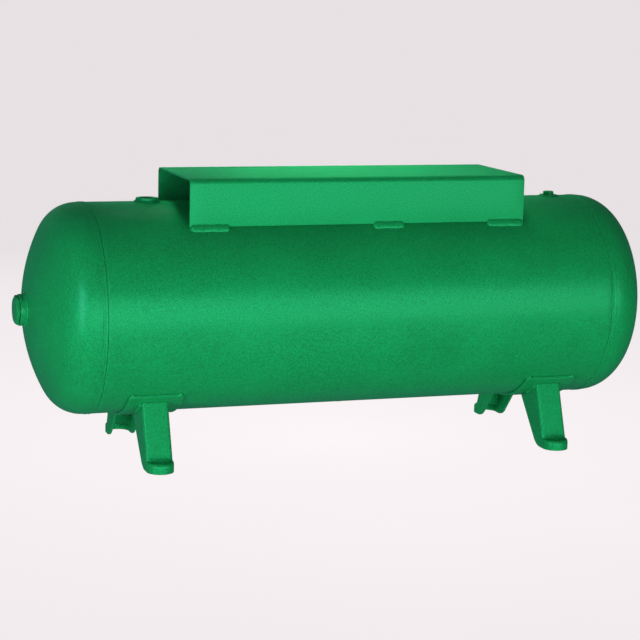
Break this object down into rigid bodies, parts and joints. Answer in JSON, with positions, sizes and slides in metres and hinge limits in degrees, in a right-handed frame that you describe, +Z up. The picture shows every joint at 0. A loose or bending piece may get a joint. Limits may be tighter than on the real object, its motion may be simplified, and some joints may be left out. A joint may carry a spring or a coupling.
{
  "type": "air receiver tank",
  "caption": "Horizontal welded compressed-air receiver: rolled shell, dished heads, bent top platform, stamped feet on saddle pads, threaded ports and plugs.",
  "frame": {"origin": "on the floor under the middle of the vessel, at the bottom centre of the whole part's box", "axes": "+X along the vessel's axis towards the right-hand head, +Y towards the back, +Z up"},
  "size_m": [1.6204, 0.511, 0.6825],
  "materials": {
    "green_enamel": "glossy sprayed green enamel with a fine orange-peel grain",
    "weld_enamel": "the same green enamel over weld beads, with the beads' ripples showing through",
    "plug_enamel": "green enamel over forged pipe plugs, with bare threads inside the ports"
  },
  "bodies": {
    "vessel": {"shell": "green_enamel", "head_left": "green_enamel", "head_right": "green_enamel", "girth_weld_left": "weld_enamel", "girth_weld_right": "weld_enamel", "longitudinal_weld": "weld_enamel", "head_coupling_left": "green_enamel", "head_coupling_right": "green_enamel", "coupling_welds": "weld_enamel", "top_port_left": "green_enamel", "top_port_right": "green_enamel", "drain_spud": "green_enamel", "port_welds": "weld_enamel", "mounting_platform": "green_enamel", "platform_welds": "weld_enamel", "saddle_pad_left": "green_enamel", "saddle_pad_right": "green_enamel", "pad_welds": "weld_enamel", "leg_front_left": "green_enamel", "leg_front_right": "green_enamel", "leg_rear_left": "green_enamel", "leg_rear_right": "green_enamel", "leg_welds": "weld_enamel"},
    "plug_left": {"head_plug_left": "plug_enamel"},
    "plug_right": {"head_plug_right": "plug_enamel"},
    "plug_top": {"top_plug_right": "plug_enamel"},
    "plug_drain": {"drain_plug": "plug_enamel"}
  },
  "joints": [
    {"name": "left_plug_out", "type": "slide", "parent": "vessel", "child": "plug_left", "axis": [-1, 0, 0], "range_m": [0, 0.04]},
    {"name": "right_plug_out", "type": "slide", "parent": "vessel", "child": "plug_right", "axis": [1, 0, 0], "range_m": [0, 0.04]},
    {"name": "top_plug_out", "type": "slide", "parent": "vessel", "child": "plug_top", "axis": [0, 0, 1], "range_m": [0, 0.025]},
    {"name": "drain_plug_out", "type": "slide", "parent": "vessel", "child": "plug_drain", "axis": [0, 0, -1], "range_m": [0, 0.025]}
  ]
}
